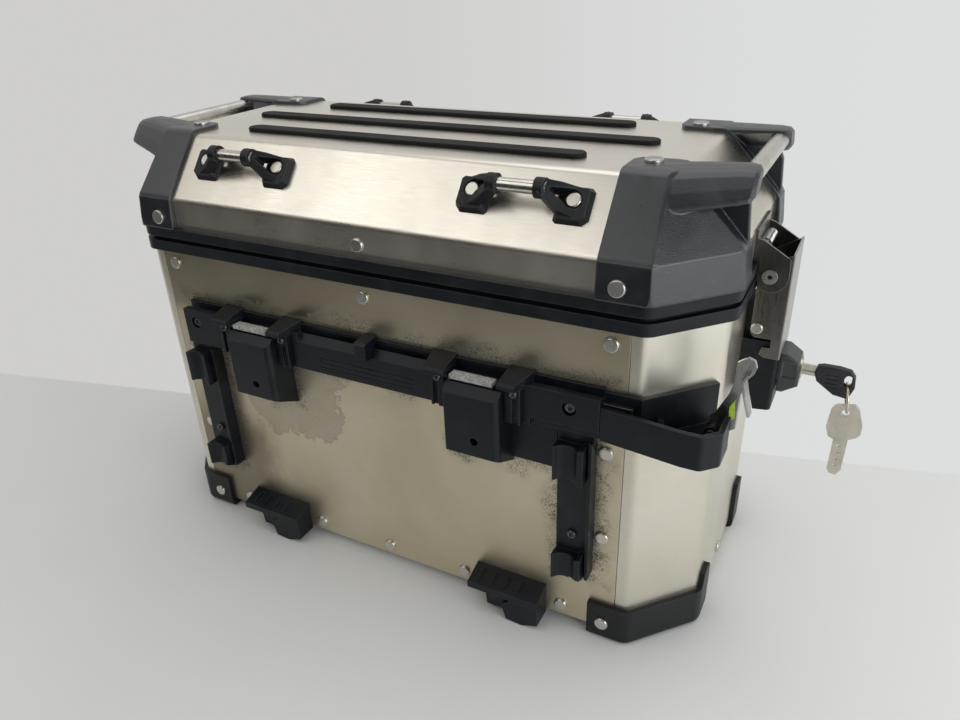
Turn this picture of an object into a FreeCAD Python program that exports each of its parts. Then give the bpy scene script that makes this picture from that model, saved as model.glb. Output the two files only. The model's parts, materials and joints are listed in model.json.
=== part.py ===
import FreeCAD
import Part

import math
import os

from FreeCAD import Vector as V

# An aluminium motorcycle side case with a hinged lid, all sizes in millimetres.
# Origin: centre of the floor's underside. +Z is up, +X is the latch end, and -Y is the side that
# faces the motorcycle and carries the mounting rail.

# ---- driving dimensions ---------------------------------------------------------------------
LENGTH = 500.0
DEPTH = 235.0
SHEET = 1.5                  # aluminium wall thickness
CHAMFER_X = 41.3             # the plan's corner chamfer, measured along X
CHAMFER_Y = 45.3             # and along Y
PANEL_BEND = 9.0             # outside radius of the wall's vertical bends
BAND_Z0 = 250.0              # lower edge of the case's rim band
BAND_Z1 = 258.5
LID_BAND_Z0 = 262.2          # lower edge of the lid's rim band
LID_BAND_Z1 = 270.0
BAND_PROUD = 4.0             # how far both bands stand out of the walls
SKIRT_TOP = 293.5            # where the lid's skirt bends into its slopes
ROOF = 337.1                 # the lid's flat top
ROOF_HALF_X = 210.0
ROOF_HALF_Y = 82.0
ROOF_BEND = 7.0              # outside radius of the bend between slope and roof
GUARD = 3.0                  # thickness of the moulded lid corners
GUARD_FLARE = 5.5            # how far their skirts stand out at the lower edge
GUARD_BASE = 4.0             # thickness of the moulded base corners
FOOT_DROP = 8.0              # how far the moulded base corners stand below the floor
LID_GAP = 0.3                # free play between the seal and the lid

RIVET_R = 5.2
RIVET_H = 2.0
RIVET_SHANK_R = 2.4
SCREW_R = 4.4

HALF_X = LENGTH / 2
HALF_Y = DEPTH / 2
PLAY = 0.3                   # clearance between pieces that slide past each other
RUNNING = 0.05               # radial clearance of a pivot


# ---- plain shapes ---------------------------------------------------------------------------
def box(x, y, z):
    """Block between the two ends given for each axis."""
    return Part.makeBox(x[1] - x[0], y[1] - y[0], z[1] - z[0], V(x[0], y[0], z[0]))


def closed_face(points):
    """Flat face inside a closed polygon."""
    return Part.Face(Part.makePolygon(points + [points[0]]))


def prism_xy(points, z0, z1):
    """Solid with an outline in the XY plane, between two stations of the third axis."""
    return closed_face([V(x, y, z0) for x, y in points]).extrude(V(0, 0, z1 - z0))


def prism_xz(points, y0, y1):
    """Solid with an outline in the XZ plane, between two stations of the third axis."""
    return closed_face([V(x, y0, z) for x, z in points]).extrude(V(0, y1 - y0, 0))


def prism_yz(points, x0, x1):
    """Solid with an outline in the YZ plane, between two stations of the third axis."""
    return closed_face([V(x0, y, z) for y, z in points]).extrude(V(x1 - x0, 0, 0))


def rod(start, end, radius):
    """Round bar between two points."""
    axis = end - start
    return Part.makeCylinder(radius, axis.Length, start, axis)


def span(a, b):
    """Two ends of a range in rising order."""
    return (min(a, b), max(a, b))


def fuse(shapes):
    """One solid from several that touch, without seams in its flat faces."""
    whole = shapes[0]
    for shape in shapes[1:]:
        whole = whole.fuse(shape)
    return whole.removeSplitter()


def group(shapes):
    """Several separate solids in one node."""
    return Part.makeCompound([solid for shape in shapes for solid in shape.Solids])


def mirror_x(shape):
    return shape.mirror(V(0, 0, 0), V(1, 0, 0))


def mirror_y(shape):
    return shape.mirror(V(0, 0, 0), V(0, 1, 0))


def soften(shape, radius, wanted):
    """Round the straight edges that wanted() picks by their direction and middle point."""
    edges = []
    for edge in shape.Edges:
        if not isinstance(edge.Curve, (Part.Line, Part.LineSegment)):
            continue
        direction = (edge.Vertexes[-1].Point - edge.Vertexes[0].Point).normalize()
        if wanted(direction, edge.CenterOfMass):
            edges.append(edge)
    return shape.makeFillet(radius, edges)


def is_vertical(direction, middle):
    return abs(direction.z) > 0.999


def slice_off(shape, point, normal):
    """Cut away everything on the outer side of a plane."""
    reach = 2 * LENGTH
    block = Part.makeBox(reach, reach, reach, V(-reach / 2, -reach / 2, 0))
    block.Placement = FreeCAD.Placement(point, FreeCAD.Rotation(V(0, 0, 1), normal))
    return shape.cut(block)


def turned(shape, point, normal):
    """Place a shape built up +Z from the origin at a point, facing along normal."""
    placed = shape.copy()
    placed.Placement = FreeCAD.Placement(point, FreeCAD.Rotation(V(0, 0, 1), normal))
    return placed


# ---- the case's plan and the lid's form -----------------------------------------------------
def octagon(offset):
    """The chamfered plan, moved outwards by offset."""
    slant = math.hypot(CHAMFER_X, CHAMFER_Y)
    side_x = HALF_X - CHAMFER_X + offset * (slant - CHAMFER_X) / CHAMFER_Y
    side_y = HALF_Y + offset
    end_x = HALF_X + offset
    end_y = HALF_Y - CHAMFER_Y + offset * (slant - CHAMFER_Y) / CHAMFER_X
    corner = [(end_x, end_y), (side_x, side_y)]
    opposite = [(-x, y) for x, y in reversed(corner)]
    upper = corner + opposite
    return upper + [(-x, -y) for x, y in upper]


def plan_prism(offset, z0, z1):
    """Upright solid over the plan, its vertical edges bent round."""
    return soften(prism_xy(octagon(offset), z0, z1), PANEL_BEND + offset, is_vertical)


def ring(outer, inner, z0, z1):
    """Closed band between two offsets of the plan."""
    return plan_prism(outer, z0, z1).cut(plan_prism(inner, z0, z1))


def lid_profile(half, roof_half, offset, z0):
    """Outline of the lid seen from one side: skirt, slope and roof, moved outwards by offset."""
    rise = ROOF - SKIRT_TOP
    run = half - roof_half
    lower_turn = math.atan2(run, rise)
    upper_turn = math.pi / 2 - lower_turn
    skirt = (half + offset, SKIRT_TOP + offset * math.tan(lower_turn / 2))
    roof = (roof_half + offset * math.tan(upper_turn / 2), ROOF + offset)
    right = [(half + offset, z0), skirt, roof]
    return right + [(-a, z) for a, z in reversed(right)]


def lid_body(offset, z0):
    """The lid's whole outer form as a solid, moved outwards by offset, from z0 up."""
    reach = LENGTH

    def across_x(direction, middle):
        return abs(direction.x) > 0.999 and middle.z > z0 + 1

    def across_y(direction, middle):
        return abs(direction.y) > 0.999 and middle.z > z0 + 1

    side = prism_yz(lid_profile(HALF_Y, ROOF_HALF_Y, offset, z0), -reach, reach)
    side = soften(side, ROOF_BEND + offset, across_x)
    end = prism_xz(lid_profile(HALF_X, ROOF_HALF_X, offset, z0), -reach, reach)
    end = soften(end, ROOF_BEND + offset, across_y)
    solid = plan_prism(offset, z0, ROOF + offset).common(side).common(end)
    foot_a = V(HALF_X - CHAMFER_X, HALF_Y, SKIRT_TOP)
    foot_b = V(HALF_X, HALF_Y - CHAMFER_Y, SKIRT_TOP)
    peak = V(ROOF_HALF_X - 6, ROOF_HALF_Y, ROOF)
    normal = (foot_b - foot_a).cross(peak - foot_a).normalize()
    if normal.z < 0:
        normal = normal * -1
    for sx in (1, -1):
        for sy in (1, -1):
            point = V(sx * foot_a.x, sy * foot_a.y, foot_a.z)
            facing = V(sx * normal.x, sy * normal.y, normal.z)
            solid = slice_off(solid, point + facing * offset, facing)
    return solid


SLOPE_UP = V(0, HALF_Y - ROOF_HALF_Y, ROOF - SKIRT_TOP).normalize()
SLOPE_ANGLE = math.degrees(math.atan2(ROOF - SKIRT_TOP, HALF_Y - ROOF_HALF_Y))


def on_slope(shape, x, y):
    """Lay a shape, built on the XY plane, on the front slope at the given x and y."""
    height = SKIRT_TOP + (y + HALF_Y) * SLOPE_UP.z / SLOPE_UP.y
    laid = shape.copy()
    laid.Placement = FreeCAD.Placement(V(x, y, height), FreeCAD.Rotation(V(1, 0, 0), SLOPE_ANGLE))
    return laid


# ---- fasteners ------------------------------------------------------------------------------
def rivet(point, normal, grip, radius=RIVET_R):
    """Blind rivet: a low domed head outside, its shank and a flared tail inside."""
    head = Part.makeCylinder(radius, RIVET_H)
    head = head.makeFillet(0.6 * RIVET_H, [e for e in head.Edges if e.CenterOfMass.z > RIVET_H / 2])
    shank = rod(V(0, 0, 0), V(0, 0, -grip), RIVET_SHANK_R)
    tail = Part.makeCone(RIVET_SHANK_R, 0.75 * radius, 1.6, V(0, 0, -grip - 1.6), V(0, 0, 1))
    return turned(fuse([head, shank, tail]), point, normal)


def screw(point, normal, grip, radius=SCREW_R):
    """Button-head screw with a hexagon socket."""
    head = Part.makeCylinder(radius, 2.6)
    head = head.makeFillet(1.4, [e for e in head.Edges if e.CenterOfMass.z > 1.3])
    socket_r = 0.52 * radius
    corners = [(socket_r * math.cos(math.radians(a)), socket_r * math.sin(math.radians(a)))
               for a in range(0, 360, 60)]
    socket = prism_xy(corners, 0.9, 3.0)
    shank = rod(V(0, 0, 0), V(0, 0, -grip), 0.5 * radius)
    return turned(fuse([head, shank]).cut(socket), point, normal)


FLARE_ANGLE = math.atan2(GUARD_FLARE - GUARD, SKIRT_TOP - LID_BAND_Z1)
FRONT = V(0, -1, 0)
REAR = V(0, 1, 0)
UP = V(0, 0, 1)
FLOOR_RIVET_Z = 9.3          # rivets through the floor's flange
SIDE_RIVET_X = 187.5         # rivets near the front panel's two ends


def case_rivets():
    """Rivets of the front panel, of the rim band and of the floor's upturned flange."""
    front = [(x, 239.4, 2 * SHEET) for x in (-SIDE_RIVET_X, 0, SIDE_RIVET_X)]
    front += [(x, z, 2 * SHEET) for x in (-SIDE_RIVET_X, SIDE_RIVET_X) for z in (158.5, 86.1)]
    front += [(x, FLOOR_RIVET_Z, 2 * SHEET) for x in (-157.5, -72.7, 0, 72.7, 157.5)]
    rear = [(x, 239.4, SHEET) for x in (-SIDE_RIVET_X, 0, SIDE_RIVET_X)]
    rear += [(x, FLOOR_RIVET_Z, 2 * SHEET) for x in (-157.5, -72.7, 0, 72.7, 157.5)]
    made = [rivet(V(x, -HALF_Y, z), FRONT, grip) for x, z, grip in front]
    made += [rivet(V(x, HALF_Y, z), REAR, grip) for x, z, grip in rear]
    made += [rivet(V(side * HALF_X, 0, FLOOR_RIVET_Z), V(side, 0, 0), 2 * SHEET) for side in (1, -1)]
    return made


def base_corner_rivets():
    """One rivet on the long side of each base corner."""
    grip = GUARD_BASE + 2 * SHEET
    reach = HALF_Y + GUARD_BASE
    return [rivet(V(sx * 191.9, sy * reach, 8.4), V(0, sy, 0), grip)
            for sx in (1, -1) for sy in (-1, 1)]


def lid_corner_rivets():
    """Rivets of the lid corners: one on each end of the roof and one on each flared skirt."""
    grip = GUARD + SHEET
    top = [rivet(V(sx * 190.0, sy * 60.0, ROOF + GUARD), UP, grip, 6.0)
           for sx in (1, -1) for sy in (-1, 1)]
    height = 279.0
    reach = HALF_Y + GUARD + (GUARD_FLARE - GUARD) * (SKIRT_TOP - height) / (SKIRT_TOP - LID_BAND_Z1)
    lean = math.sin(FLARE_ANGLE)
    skirt = [rivet(V(sx * 190.4, sy * reach, height), V(0, sy, lean), grip + 2.0, 5.6)
             for sx in (1, -1) for sy in (-1, 1)]
    return top + skirt


def lid_sheet_rivets():
    """The middle rivet of each of the lid's long skirts."""
    return [rivet(V(0, sy * HALF_Y, 279.0), V(0, sy, 0), SHEET) for sy in (-1, 1)]


# ---- case: sheet metal, floor and rim -------------------------------------------------------
PANEL_HALF = 200.0           # half length of the riveted front panel
SHEET_TOP = 254.0            # the walls end inside the rim band
FLANGE_Z = 18.0              # height of the floor's upturned flange
OVERLAP = 22.0               # how far the wrap reaches behind the front panel
SEAM = 0.5                   # open gap between the front panel and the wrap


def back_panel():
    """The flat riveted panel on the motorcycle's side."""
    half = PANEL_HALF - SEAM / 2
    return box((-half, half), (-HALF_Y, -HALF_Y + SHEET), (0, SHEET_TOP))


def outer_shell():
    """One bent sheet: both ends, the outer side, the chamfers, and a joggled edge behind the panel."""
    edge = PANEL_HALF + SEAM / 2
    inner = -HALF_Y + SHEET
    walls = ring(0, -SHEET, 0, SHEET_TOP).cut(box((-edge, edge), (-HALF_Y, inner), (0, SHEET_TOP)))
    flange = box((edge - OVERLAP, edge + 2), (inner, inner + SHEET), (FLANGE_Z + 2, SHEET_TOP))
    return fuse([walls, flange, mirror_x(flange)])


def floor_pan():
    """The floor, with a flange turned up inside the walls."""
    tray = plan_prism(-SHEET, 0, FLANGE_Z)
    return tray.cut(plan_prism(-2 * SHEET, SHEET, FLANGE_Z))


def body_rim():
    """Moulded band that caps the top edge of the walls."""
    band = ring(BAND_PROUD, -5.0, BAND_Z0, BAND_Z1)
    return band.cut(ring(0, -SHEET, BAND_Z0, SHEET_TOP)).cut(
        box((-PANEL_HALF - 3, PANEL_HALF + 3), (-HALF_Y, -HALF_Y + 2 * SHEET), (BAND_Z0, SHEET_TOP)))


def lid_seal():
    """Seal in the gap between the two bands."""
    return ring(-0.5, -4.5, BAND_Z1, LID_BAND_Z0 - LID_GAP)


BASE_LEG_X = 180.0           # a base corner's inner edge on the long side
BASE_LEG_Y = 50.0            # and on the short end
BASE_TOP = 24.5
BASE_LEG_TOP = 37.0          # the leg on the short end stands higher


def base_corner():
    """Moulded shoe under one corner: wraps the chamfer, and its sole is what the case stands on."""
    outer = plan_prism(GUARD_BASE, -FOOT_DROP, BASE_LEG_TOP)
    sole = [e for e in outer.Edges if e.BoundBox.ZMax < -FOOT_DROP + 0.01]
    outer = outer.makeFillet(5.0, sole)
    skin = outer.cut(plan_prism(0, 0, BASE_LEG_TOP))
    reach = LENGTH
    lower = box((BASE_LEG_X, reach), (-reach, -BASE_LEG_Y), (-FOOT_DROP, BASE_TOP))
    leg = prism_yz([(-72.0, 0), (-BASE_LEG_Y, 0), (-BASE_LEG_Y, BASE_LEG_TOP - 4),
                    (-BASE_LEG_Y - 4, BASE_LEG_TOP), (-68.0, BASE_LEG_TOP), (-72.0, BASE_TOP)],
                   HALF_X - 2, reach)
    return skin.common(fuse([lower, leg]))


# ---- mounting rail --------------------------------------------------------------------------
RAIL_X = (-177.0, 186.0)
RAIL_Z = (175.0, 205.0)
RAIL_BACK_TOP = 209.0        # the rail's thin back plate stands higher than its front
RAIL_FRONT = -130.0          # the rail's front face
SLOT_Y = (-124.0, -120.5)    # the channel that the locking bar slides in
SLOT_FLOOR = 187.0
HOOK_X = (-98.5, 98.5)       # centres of the two hook blocks
GATE = (-21.5, 19.5)         # the opening between a block's two ears, from its centre
GATE_FLOOR = 197.0
BLOCK_FRONT = -142.5         # the hook blocks' front face
ARM_X = (-181.5, 155.5)      # lower X side of each clamp arm
ARM_WIDTH = 26.0
ARM_Z = (50.0, 174.0)
ARM_WEB = -124.0             # front face of an arm's web


def channel(z_top):
    """The free space that the locking bar needs along the rail."""
    return box((-400, 400), SLOT_Y, (SLOT_FLOOR, z_top))


def mount_rail():
    """Rail along the front panel: a beam with the locking bar's channel behind its front."""
    x0, x1 = RAIL_X
    rail = fuse([
        box(RAIL_X, (RAIL_FRONT, -HALF_Y), RAIL_Z),
        box(RAIL_X, (SLOT_Y[1], -HALF_Y), (RAIL_Z[0], RAIL_BACK_TOP)),
        box((118.0, 154.5), (-122.5, -HALF_Y), (140.0, RAIL_Z[0])),
    ])
    rail = rail.cut(channel(RAIL_BACK_TOP))
    bevel = [(-124.0, 206.0), (-124.0, 203.5), (-131.0, 197.0), (-131.0, 206.0)]
    rail = rail.cut(prism_yz(bevel, -57.0, 57.0))
    for centre in HOOK_X:
        gate = (centre + GATE[0], centre + GATE[1])
        rail = rail.cut(box(gate, (RAIL_FRONT, SLOT_Y[0]), (GATE_FLOOR, RAIL_Z[1])))
    for z in (180.0, 184.0, 188.0):
        rail = rail.cut(box((-40.0, 46.0), (RAIL_FRONT, RAIL_FRONT + 0.8), (z, z + 1.2)))
    rail = rail.cut(box((137.5, x1), (RAIL_FRONT, RAIL_FRONT + 3.0), (RAIL_Z[0], 181.0)))
    for x in (x0 + 12.0, 165.0):
        rail = rail.cut(rod(V(x, RAIL_FRONT, 194.0), V(x, RAIL_FRONT + 4.0, 194.0), SCREW_R + 0.6))
    return rail


def ear(centre, side):
    """One ear beside a gate: a sloping roof over a narrow grooved column; side is -1 or 1."""
    inner = centre + (GATE[1] if side > 0 else GATE[0])
    outer = centre + (38.5 if side > 0 else -40.5)
    taper = 7.0 if side > 0 else 3.5
    plan = [(inner, -118.0), (outer, -118.0), (outer - side * taper, -141.0), (inner, -141.0)]
    roof = prism_xy(plan, 198.0, 212.0)
    roof = roof.common(prism_yz([(-118.0, 211.0), (-139.0, 207.5), (-140.5, 205.5), (-140.5, 203.5),
                                 (-138.5, 202.3), (-118.0, 202.3)], centre - 60, centre + 60))
    column = box(span(inner, outer - side * 5.0), (-134.0, -118.0), (175.0, 203.0))
    for start, width, top in ((0.0, 3.0, 200.0), (8.0, 4.0, 194.5)):
        near = inner + side * start
        column = column.cut(box(span(near, near + side * width), (-135.0, -132.0), (170.0, top)))
    return fuse([roof, column])


def hook_block(centre, rail):
    """Hook housing: a deep block with a gate on top for the rack's hook, between two ears."""
    body = prism_yz([(-118.0, RAIL_Z[0] - 8), (-118.0, 133.6), (BLOCK_FRONT, 146.0), (BLOCK_FRONT, 193.0),
                     (-136.4, 199.0), (-135.5, GATE_FLOOR), (-124.0, GATE_FLOOR)],
                    centre + GATE[0], centre + 21.0)
    for x, radius in ((centre + 21.0, 5.0), (centre + GATE[0], 2.0)):
        body = soften(body, radius, lambda d, m: abs(d.z) > 0.99 and m.y < BLOCK_FRONT + 0.1
                      and abs(m.x - x) < 0.1)
    block = fuse([body, ear(centre, -1), ear(centre, 1)])
    behind = box((-200, 200), (-HALF_Y - 0.5, 0), (100, 250))
    drain = rod(V(centre + 2, BLOCK_FRONT - 1, 158.0), V(centre + 2, BLOCK_FRONT + 6, 158.0), 3.2)
    return block.cut(rail).cut(channel(201.5)).cut(behind).cut(drain)


def rail_clip(rail):
    """Small finger over the middle of the rail."""
    finger = prism_yz([(-118.5, 209.0), (-118.5, 212.0), (-133.0, 211.0), (-135.0, 209.0),
                       (-135.0, 198.5), (-130.0, 196.0), (-124.0, 201.8)], 0.0, 9.5)
    return finger.cut(rail).cut(channel(202.5))


def rail_screws():
    """Screws of the rail, of the ears and of the clamp arms."""
    made = [screw(V(x, RAIL_FRONT + 4.0, 194.0), FRONT, 1.6) for x in (RAIL_X[0] + 12.0, 165.0)]
    for centre in HOOK_X:
        made += [screw(V(centre + dx, -134.0, 199.0), FRONT, 6.0, 2.9) for dx in (-29.0, 29.0)]
    made += [screw(V(x + 12.0, ARM_WEB, 88.0), FRONT, 8.0, 3.6) for x in ARM_X]
    return made


TRAY_Z = (176.0, 200.0)
TRAY_BACK_TOP = 207.0
TRAY_WALL = 3.4


def rail_bumper():
    """Open-topped tray that carries the rail round the corner to the release lever."""
    start = RAIL_X[1] + 0.6
    corner = octagon(0.4)
    chamfer_x, chamfer_y = corner[1]
    end_x, end_y = corner[0]
    share = 0.9
    stop_x = chamfer_x + share * (end_x - chamfer_x)
    stop_y = -(chamfer_y + share * (end_y - chamfer_y))
    outline = [(start, -chamfer_y), (start, RAIL_FRONT), (240.0, -137.0), (252.0, -137.0),
               (262.0, -127.0), (262.0, -104.0), (stop_x + 2.5, stop_y - 2.5), (stop_x, stop_y),
               (chamfer_x, -chamfer_y)]
    tub = prism_xy(outline, TRAY_Z[0], TRAY_Z[1])
    tub = soften(tub, 5.0, lambda d, m: abs(d.z) > 0.999 and (m.y < -136.0 or m.x > 261.0))
    inside = [(start - 1, SLOT_Y[1]), (start - 1, RAIL_FRONT + TRAY_WALL), (239.5, -137.0 + TRAY_WALL),
              (250.5, -137.0 + TRAY_WALL), (262.0 - TRAY_WALL, -125.5), (262.0 - TRAY_WALL, -106.0),
              (270.0, -106.0), (270.0, -90.0), (stop_x + 2.6, stop_y - 2.6), (210.3, SLOT_Y[1])]
    tub = tub.cut(prism_xy(inside, TRAY_Z[0] + 3.0, TRAY_Z[1]))
    back = prism_xy([(start, -chamfer_y), (start, SLOT_Y[1]), (210.3, SLOT_Y[1]),
                     (stop_x + 2.6, stop_y - 2.6), (stop_x, stop_y), (chamfer_x, -chamfer_y)],
                    TRAY_Z[0], TRAY_BACK_TOP)
    rib = prism_xy([(226.0, -134.5), (229.5, -134.5), (222.0, -112.0), (219.0, -113.0)],
                   TRAY_Z[0] + 2.0, 192.0)
    lugs = [fuse([box((LEVER_AXIS.x - 5, LEVER_AXIS.x + 4), y, (TRAY_Z[0] + 2, LEVER_AXIS.z)),
                  rod(V(LEVER_AXIS.x, y[0], LEVER_AXIS.z), V(LEVER_AXIS.x, y[1], LEVER_AXIS.z), 5.0)])
            for y in ((-111.5, -108.5), (-95.5, -92.5))]
    tray = fuse([tub, back, rib] + lugs)
    tray = tray.cut(box((start - 1, 212.0), (SLOT_Y[0] - PLAY, SLOT_Y[1]), (SLOT_FLOOR - 1, 220.0)))
    return tray.cut(lever_pin())


def clamp_arm(x):
    """Upright arm: a flat web, a low flange along its +X edge and a hollow-faced clip at each end."""
    web = box((x, x + ARM_WIDTH), (ARM_WEB, -HALF_Y), ARM_Z)
    web = soften(web, 3.0, lambda d, m: abs(d.y) > 0.99 and m.z < ARM_Z[0] + 10)
    flange = box((x + ARM_WIDTH - 2.5, x + ARM_WIDTH), (-128.5, ARM_WEB), (ARM_Z[0] + 2, 170.0))
    pieces = [web, flange]
    for z0, z1 in ((50.5, 72.0), (138.0, 165.0)):
        clip = box((x, x + 19.0), (-134.0, ARM_WEB), (z0, z1))
        hollow = rod(V(x + 9.5, -138.0, z0 - 1), V(x + 9.5, -138.0, z1 + 1), 9.0)
        fin = box((x + 19.0, x + 22.0), (-135.0, ARM_WEB), (z0, z1 + 2))
        pieces += [clip.cut(hollow), fin]
    notch = prism_yz([(-140.0, 58.0), (-124.5, 49.0), (-140.0, 49.0)], x + 12.0, x + ARM_WIDTH + 1)
    return fuse(pieces).cut(notch)


def support_foot(x):
    """Ribbed block low on the panel that rests on the rack, with a flat buttress over its +X half."""
    x1 = x + 59.5
    under = 0.5 - FOOT_DROP
    wedge = prism_yz([(-HALF_Y, 25.0), (-136.5, 19.5), (-136.5, 14.0), (-133.0, 11.0), (-120.0, 9.0),
                      (-HALF_Y, 4.0)], x, x1)
    lower = prism_yz([(-HALF_Y, 12.0), (-131.0, 12.0), (-129.0, under + 3.0), (-HALF_Y, under + 1.0)],
                     x + 13.0, x + 32.0)
    buttress = prism_xz([(x + 29.0, 7.0), (x + 38.0, 14.5), (x1, 19.5), (x1, -3.0), (x + 46.0, under),
                         (x + 33.0, under + 1.0)], -136.0, -HALF_Y)
    foot = fuse([wedge, lower, buttress])
    slope = math.degrees(math.atan2(5.5, 19.0))
    for index in range(4):
        rib_x = x + 10.0 + 11.0 * index
        cutter = Part.makeBox(4.5, 12.0, 3.0, V(-2.25, -6.0, -1.2))
        cutter.Placement = FreeCAD.Placement(V(rib_x, -127.5, 22.1), FreeCAD.Rotation(V(1, 0, 0), slope))
        foot = foot.cut(cutter)
    return foot


# ---- locking bar and release lever ----------------------------------------------------------
BAR_Z = (SLOT_FLOOR + PLAY, 200.0)
PLATE_Y = (-135.0, -127.5)   # depth of the zinc plates
LEVER_AXIS = V(252.0, 0, 188.0)
LEVER_Y = (-105.0, -99.0)


def lock_bar():
    """Steel bar in the rail's channel, with a tab across each hook gate."""
    bar = box((-166.0, 205.0), (SLOT_Y[0] + PLAY, SLOT_Y[1] - PLAY), BAR_Z)
    tabs = [box((c - 19.5, c + 13.5), (PLATE_Y[0], SLOT_Y[0] + PLAY), (GATE_FLOOR + PLAY, BAR_Z[1]))
            for c in HOOK_X]
    return fuse([bar] + tabs)


def hook_plates():
    """Zinc-plated catch plates on the bar's tabs."""
    return group([box((c - 19.5, c + 13.5), PLATE_Y, (BAR_Z[1], BAR_Z[1] + 3.0)) for c in HOOK_X])


def lever_pin():
    """Pivot of the release lever, held in the tray's two lugs."""
    return rod(V(LEVER_AXIS.x, -112.0, LEVER_AXIS.z), V(LEVER_AXIS.x, -92.0, LEVER_AXIS.z), 2.5)


def strip(points, thickness, y0, y1):
    """Bent flat strip: a path in XZ, given a thickness to its left."""
    offsets = []
    for index, point in enumerate(points):
        before = points[max(index - 1, 0)]
        after = points[min(index + 1, len(points) - 1)]
        along = V(after[0] - before[0], 0, after[1] - before[1]).normalize()
        offsets.append((point[0] - along.z * thickness, point[1] + along.x * thickness))
    return prism_xz(points + offsets[::-1], y0, y1)


def release_lever():
    """Steel lever at the tray's open end: a side plate with a round tip, a limb and a bent tail."""
    y0, y1 = LEVER_Y
    hub = rod(V(LEVER_AXIS.x, y0, LEVER_AXIS.z), V(LEVER_AXIS.x, y1, LEVER_AXIS.z), 5.5)
    side = prism_xz([(247.0, 189.0), (258.5, 213.9), (260.8, 223.3), (261.2, 236.7), (264.2, 239.2),
                     (267.3, 241.1), (271.1, 239.6), (272.6, 235.4), (271.2, 230.9), (267.8, 226.5),
                     (264.5, 211.0), (265.0, 191.5), (255.0, 184.0)], y0, y0 + 2.5)
    limb = prism_xz([(262.4, 211.0), (265.0, 212.5), (265.0, 191.5), (262.4, 190.0)], y0, y1)
    tail = strip([(272.5, 202.0), (267.0, 226.0), (269.5, 231.0)], 1.8, y0 - 4.0, y1)
    taper = prism_yz([(y0 - 5, 196.0), (y0 + 0.5, 196.0), (y0 - 5, 222.0)], 262.0, 280.0)
    lever = fuse([hub, side, limb, tail.cut(taper)])
    bore = rod(V(LEVER_AXIS.x, -140, LEVER_AXIS.z), V(LEVER_AXIS.x, -70, LEVER_AXIS.z), 2.5 + RUNNING)
    return lever.cut(bore)


def lever_tab():
    """Coloured indicator strip on the lever's side plate."""
    y = LEVER_Y[0]
    return prism_xz([(260.1, 206.1), (262.9, 211.7), (263.7, 198.7), (260.4, 197.0)], y - 0.6, y)


# ---- hinge at the -X end --------------------------------------------------------------------
HINGE_X = -258.0             # the hinge's axis
HINGE_Z = (BAND_Z1 + LID_BAND_Z0) / 2
HINGE_HALF = 50.0
KNUCKLES = 5
KNUCKLE_R = 3.7
HINGE_PIN_R = 2.0


def knuckle_spans(which):
    """Y ranges of the case's (0) or the lid's (1) knuckles, with play between neighbours."""
    step = 2 * HINGE_HALF / KNUCKLES
    spans = []
    for index in range(KNUCKLES):
        if index % 2 == which:
            start = -HINGE_HALF + index * step
            spans.append((start + PLAY / 2, start + step - PLAY / 2))
    return spans


def hinge_leaf(which):
    """One leaf: a plate on the wall, a step over the rim band, and its share of the knuckles."""
    side = 1 if which else -1
    outside = HINGE_X - KNUCKLE_R
    band_clear = HINGE_X + KNUCKLE_R

    def height(rise):
        return HINGE_Z + side * rise

    def block(x, y, rise):
        z = sorted((height(rise[0]), height(rise[1])))
        return box(x, y, (z[0], z[1]))

    pieces = [block((-HALF_X - 2, -HALF_X), (-HINGE_HALF, HINGE_HALF), (12.0, 34.0)),
              block((outside, -HALF_X), (-HINGE_HALF, HINGE_HALF), (12.0, 16.0))]
    for y0, y1 in knuckle_spans(which):
        pieces.append(block((outside, band_clear), (y0, y1), (0.0, 12.0)))
        pieces.append(rod(V(HINGE_X, y0, HINGE_Z), V(HINGE_X, y1, HINGE_Z), KNUCKLE_R))
    leaf = fuse(pieces)
    bore = HINGE_PIN_R + (RUNNING if which else 0)
    return leaf.cut(rod(V(HINGE_X, -60, HINGE_Z), V(HINGE_X, 60, HINGE_Z), bore))


def hinge_pin():
    """Pin through both leaves' knuckles."""
    return rod(V(HINGE_X, -HINGE_HALF - 1, HINGE_Z), V(HINGE_X, HINGE_HALF + 1, HINGE_Z), HINGE_PIN_R)


# ---- lid ------------------------------------------------------------------------------------
LID_SHEET_Z = 266.0          # lower edge of the lid's sheet, inside its rim band


def lid_shell(form):
    """The lid's sheet: skirt, slopes and roof, hollow inside."""
    return form.cut(lid_body(-SHEET, LID_SHEET_Z - 1))


def lid_rim():
    """Moulded band round the lid's lower edge."""
    band = ring(BAND_PROUD, -5.0, LID_BAND_Z0, LID_BAND_Z1)
    return band.cut(ring(0, -SHEET, LID_SHEET_Z, LID_BAND_Z1))


TUBE_X = 247.0               # axis of the end tube
TUBE_Z = 333.5
TUBE_R = 6.0


def end_tube():
    """Tube between the arms at the +X end."""
    return rod(V(TUBE_X, -66.0, TUBE_Z), V(TUBE_X, 66.0, TUBE_Z), TUBE_R)


def section(x, points):
    """Closed outline in the plane at one x, from its Y and Z."""
    return Part.makePolygon([V(x, y, z) for y, z in points + [points[0]]])


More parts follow.
